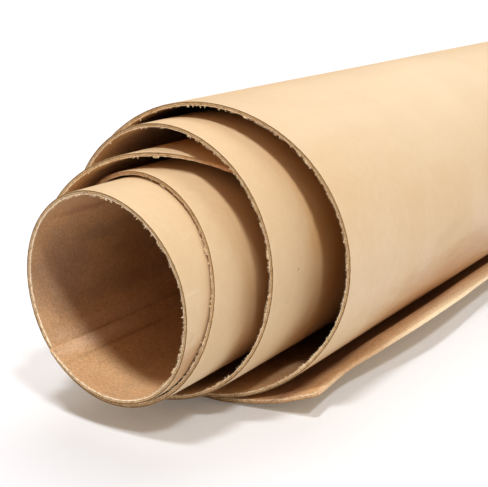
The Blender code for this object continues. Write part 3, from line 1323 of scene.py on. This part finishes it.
@dataclass(frozen=True)
class FleshFinish:
    """The inner side: browner, with a short nap, cloudy patches and stains drawn out along it."""
    pale: Colour = (0.70, 0.43, 0.22, 1.0)
    deep: Colour = (0.50, 0.275, 0.12, 1.0)
    fuzz: Colour = (0.78, 0.52, 0.29, 1.0)
    stain: Colour = (0.40, 0.25, 0.165, 1.0)
    roughness: float = 0.86
    specular: float = 0.2
    cloud_scale: float = 34.0
    fleck_scale: float = 520.0
    stain_scale: float = 42.0
    stain_stretch: float = 0.3
    speck_scale: float = 1300.0
    speck_contrast: float = 0.45
    cloud_share: float = 0.45
    stain_share: float = 0.6
    fleck_share: float = 0.4
    fuzz_share: float = 0.45
    nap_scale: float = 1300.0
    nap_depth: float = 0.2
    nap_strength: float = 0.7
    marks: tuple[Mark, ...] = (
        # Cool and reddish stains and darker streaks in the tube's upper wall
        Mark(247.0, 38.0, 34.0, 36.0, 0.6, (0.40, 0.27, 0.195, 1.0)),
        Mark(215.0, 44.0, 4.5, 34.0, 0.6, (0.42, 0.20, 0.12, 1.0)),
        Mark(243.0, 92.0, 34.0, 34.0, 0.6, (0.44, 0.255, 0.10, 1.0)),
        Mark(262.0, 78.0, 10.0, 46.0, 0.5, (0.36, 0.225, 0.125, 1.0)),
        Mark(234.0, 66.0, 7.0, 30.0, 0.45, (0.36, 0.235, 0.155, 1.0)),
        # A paler band, and a reddish patch at the tube's foot
        Mark(276.0, 60.0, 6.0, 60.0, 0.35, (0.80, 0.56, 0.38, 1.0)),
        Mark(24.0, 18.0, 14.0, 14.0, 0.4, (0.56, 0.32, 0.17, 1.0)),
        # The pale band beside the inner end, and the thin line beside it
        Mark(3.5, 44.0, 5.5, 46.0, 0.55, (0.84, 0.60, 0.42, 1.0)),
        Mark(9.5, 62.0, 1.5, 62.0, 0.5, (0.34, 0.185, 0.09, 1.0)),
        # Painted shade: the dark inside of the outermost turn, at its upper left, where it faces
        # down away from the light
        Mark(1574.0, 100.0, 60.0, 36.0, 0.85, (0.13, 0.075, 0.04, 1.0)),
        # Painted shade: the brown foot of the flap, under the outermost turn's overhang; painted
        # light: its golden free edge, where the light reaches past the overhang
        Mark(1794.0, 108.0, 18.0, 66.0, 0.85, (0.28, 0.135, 0.07, 1.0)),
        Mark(1784.0, 230.0, 17.0, 150.0, 0.7, (0.32, 0.17, 0.08, 1.0)),
        Mark(1814.0, 265.0, 13.0, 180.0, 1.0, (0.93, 0.73, 0.47, 1.0)),
        Mark(1814.0, 230.0, 8.0, 130.0, 0.8, (0.95, 0.78, 0.53, 1.0)),
        Mark(1813.0, 84.0, 3.5, 24.0, 0.8, (0.90, 0.67, 0.42, 1.0)),
        # A pale fleck in the tube
        Mark(14.0, 64.0, 1.2, 1.2, 0.7, (0.85, 0.62, 0.42, 1.0)),
    )

    def make(self, effects: Effects, thickness: float) -> bpy.types.Material:
        """Build the material.

        Args:
            effects: The shared effects.
            thickness: The hide's thickness, in millimetres.

        Returns:
            The material.
        """
        material, w, shader = start_material("leather_flesh")
        place = place_on_hide(w, thickness)
        mottle = use(w, effects.mottle, Vector=place, Cloud_Scale=self.cloud_scale,
                     Fleck_Scale=self.fleck_scale)
        nap = use(w, effects.nap, Vector=place, Scale=self.nap_scale)
        drawn = w.vector("MULTIPLY", {0: place, 1: (1.0, self.stain_stretch, 1.0)})
        stains = w.noise(drawn, self.stain_scale, detail=3.0, roughness=0.6)
        colour = self.pale
        for mask, share, tone in (
                (mottle["Clouds"], self.cloud_share, self.deep),
                (w.ramp(stains, low=0.45, high=0.72), self.stain_share, self.stain),
                (mottle["Flecks"], self.fleck_share, self.deep),
                (nap["Fuzz"], self.fuzz_share, self.fuzz)):
            colour = w.blend(w.math("MULTIPLY", mask, share), colour, tone)
        colour = add_marks(w, effects, place, thickness, self.marks, colour)
        specks = use(w, effects.speckle, Color=colour, Vector=place, Scale=self.speck_scale,
                     Contrast=self.speck_contrast)
        w.feed(shader, {
            "Base Color": specks["Color"], "Roughness": self.roughness,
            "Specular IOR Level": self.specular,
            "Normal": bump(w, nap["Height"], self.nap_depth, self.nap_strength)})
        return material


class Layer(NamedTuple):
    """A layer of the cut edge: its depth as a share of the thickness, and its colour."""
    depth: float
    colour: Colour


@dataclass(frozen=True)
class CutFinish:
    """The cut edge: a dark line under the grain, brown layers and a pale, fuzzy flesh corner."""
    layers: tuple[Layer, ...] = (
        Layer(0.0, (0.58, 0.38, 0.20, 1.0)),
        Layer(0.07, (0.28, 0.165, 0.07, 1.0)),
        Layer(0.19, (0.11, 0.058, 0.02, 1.0)),
        Layer(0.33, (0.44, 0.275, 0.125, 1.0)),
        Layer(0.50, (0.64, 0.43, 0.225, 1.0)),
        Layer(0.64, (0.30, 0.165, 0.07, 1.0)),
        Layer(0.74, (0.64, 0.44, 0.24, 1.0)),
        Layer(0.83, (0.95, 0.78, 0.55, 1.0)),
        Layer(1.0, (0.97, 0.83, 0.62, 1.0)),
    )
    dark: Colour = (0.06, 0.03, 0.01, 1.0)
    marks: tuple[Mark, ...] = (
        # Reddish second turn; orange on the third turn, painted shade where it runs under the
        # fourth turn's rim; cream further on; reddish flap
        Mark(480.0, 60.0, 45.0, 40.0, 0.6, (0.60, 0.28, 0.13, 1.0)),
        Mark(748.0, 60.0, 34.0, 40.0, 0.85, (0.85, 0.38, 0.13, 1.0)),
        Mark(850.0, 60.0, 45.0, 40.0, 0.5, (0.88, 0.72, 0.50, 1.0)),
        Mark(1790.0, 66.0, 45.0, 14.0, 0.45, (0.72, 0.40, 0.21, 1.0)),
    )
    roughness: float = 0.85
    specular: float = 0.2
    unevenness: float = 0.32
    layer_scale: float = 520.0
    gap_scale: float = 1352.0
    gap_share: float = 0.5
    fuzz_scale: float = 1500.0
    fuzz_share: float = 0.4
    fuzz_depth: float = 0.25
    fuzz_strength: float = 0.9

    def make(self, effects: Effects, thickness: float) -> bpy.types.Material:
        """Build the material.

        Args:
            effects: The shared effects.
            thickness: The hide's thickness, in millimetres.

        Returns:
            The material.
        """
        material, w, shader = start_material("leather_cut_edge")
        place = place_on_hide(w, thickness)
        depth = depth_share(w)
        nap = use(w, effects.nap, Vector=place, Scale=self.fuzz_scale)
        uneven = w.math("SUBTRACT", w.noise(place, self.layer_scale, roughness=0.6), 0.5)
        shifted = w.math("ADD", depth, w.math("MULTIPLY", uneven, self.unevenness))
        bands = w.node("ShaderNodeValToRGB", {"Fac": shifted})
        stops = bands.color_ramp.elements
        for layer in self.layers[1:-1]:
            stops.new(layer.depth)
        for stop, layer in zip(stops, self.layers):
            stop.position, stop.color = layer.depth, layer.colour
        colour = add_marks(w, effects, place, 0.0, self.marks, bands.outputs["Color"])
        gaps = w.ramp(w.noise(place, self.gap_scale, roughness=0.6), low=0.52, high=0.62)
        colour = w.blend(w.math("MULTIPLY", gaps, self.gap_share), colour, self.dark)
        fuzz = w.ramp(nap["Fuzz"], 0.3, 1.0, start=0.0, end=self.fuzz_share)
        colour = w.blend(w.math("MULTIPLY", fuzz, depth), colour, self.layers[-1].colour)
        w.feed(shader, {
            "Base Color": colour, "Roughness": self.roughness,
            "Specular IOR Level": self.specular,
            "Normal": bump(w, nap["Height"], self.fuzz_depth, self.fuzz_strength)})
        return material


@dataclass(frozen=True)
class FibreFinish:
    """The loose fibres: cream, a little uneven, with a soft sheen."""
    pale: Colour = (0.98, 0.82, 0.55, 1.0)
    deep: Colour = (0.88, 0.66, 0.38, 1.0)
    roughness: float = 0.8
    scale: float = 700.0
    sheen: float = 0.8

    def make(self) -> bpy.types.Material:
        """Build the material.

        Returns:
            The material.
        """
        material, w, shader = start_material("leather_fibre")
        place = w.node("ShaderNodeTexCoord").outputs["Object"]
        tone = w.ramp(w.noise(place, self.scale), low=0.4, high=0.62)
        w.feed(shader, {
            "Base Color": w.blend(tone, self.pale, self.deep), "Roughness": self.roughness,
            "Sheen Weight": self.sheen, "Sheen Tint": self.pale})
        return material


class Light(NamedTuple):
    """A distant soft light: how far it leans towards the right and the back from straight
    overhead, for a height of 1, how wide it looks in degrees, and its strength."""
    name: str
    right: float
    back: float
    width: float
    strength: float


LIGHTS = (
    Light("key_light", right=0.66, back=-0.61, width=7.0, strength=1.32),
    Light("top_light", right=0.13, back=-0.42, width=9.0, strength=1.4),
    Light("back_light", right=-0.20, back=0.55, width=45.0, strength=0.95),
)


@dataclass
class Studio:
    """The white floor, the soft lights, the pale surroundings and the camera."""
    floor_size: float = 120.0
    floor_drop: float = 0.0002
    floor_colour: Colour = (0.765, 0.79, 0.825, 1.0)
    floor_glow: float = 0.075
    floor_roughness: float = 0.9
    floor_specular: float = 0.1
    surroundings: float = 0.37
    surroundings_colour: Colour = (1.0, 0.77, 0.63, 1.0)
    camera_place: tuple[float, float, float] = (0.2794, -0.8030, 0.1956)
    camera_down: float = 12.85
    camera_turn: float = 28.66
    lens: float = 95.90
    film_width: float = 36.0

    def build(self) -> None:
        """Build the stage."""
        self._floor()
        for light in LIGHTS:
            self._light(light)
        world = bpy.data.worlds.new("pale_surroundings")
        world.use_nodes = True
        Wiring(world.node_tree).feed(world.node_tree.nodes["Background"], {
            "Color": self.surroundings_colour, "Strength": self.surroundings})
        bpy.context.scene.world = world
        bpy.context.scene.view_settings.view_transform = "Standard"
        self._camera()

    def _floor(self) -> None:
        """Lay the floor just under the hide."""
        half = self.floor_size / 2
        work = bmesh.new()
        corners = ((-half, -half), (half, -half), (half, half), (-half, half))
        work.faces.new([work.verts.new((x, y, -self.floor_drop)) for x, y in corners])
        data = bpy.data.meshes.new("floor")
        work.to_mesh(data)
        work.free()
        material, w, shader = start_material("white_floor")
        w.feed(shader, {
            "Base Color": self.floor_colour, "Roughness": self.floor_roughness,
            "Specular IOR Level": self.floor_specular, "Emission Color": WHITE,
            "Emission Strength": self.floor_glow})
        data.materials.append(material)
        add_object("floor", data)

    @staticmethod
    def _light(light: Light) -> None:
        """Add a distant soft light.

        Args:
            light: Its place, width and strength.
        """
        data = bpy.data.lights.new(light.name, "SUN")
        data.angle = math.radians(light.width)
        data.energy = light.strength
        toward = Vector((light.right, light.back, 1.0))
        add_object(light.name, data).rotation_euler = toward.to_track_quat("Z", "Y").to_euler()

    def _camera(self) -> None:
        """Set the camera up."""
        data = bpy.data.cameras.new("camera")
        data.sensor_fit = "HORIZONTAL"
        data.sensor_width = self.film_width
        data.lens = self.lens
        camera = add_object("camera", data)
        camera.location = self.camera_place
        tilt = math.radians(QUARTER_TURN - self.camera_down)
        camera.rotation_euler = Euler((tilt, 0.0, math.radians(self.camera_turn)))
        bpy.context.scene.camera = camera


@dataclass
class Roll:
    """The whole rolled hide: the sheet and the fibres of its cut edge."""
    winding: Winding = field(default_factory=Winding)
    flat_width: float = 0.73
    flat_length: float = 1.78

    def build(self) -> None:
        effects = Effects()
        thickness = self.winding.thickness
        hide = Hide(self.winding).build()
        for finish in (GrainFinish(), FleshFinish(), CutFinish()):
            hide.data.materials.append(finish.make(effects, thickness))
        fibres = Fibres(self.winding).build(hide, FibreFinish().make())
        for piece in (hide, fibres):
            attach(piece, BODY)
            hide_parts(NODE)


def main() -> None:
    """Build the hide and the stage it lies on."""
    logging.basicConfig(level=logging.INFO, format="%(name)s: %(message)s")
    Roll().build()
    Studio().build()


if __name__ == "__main__":
    main()
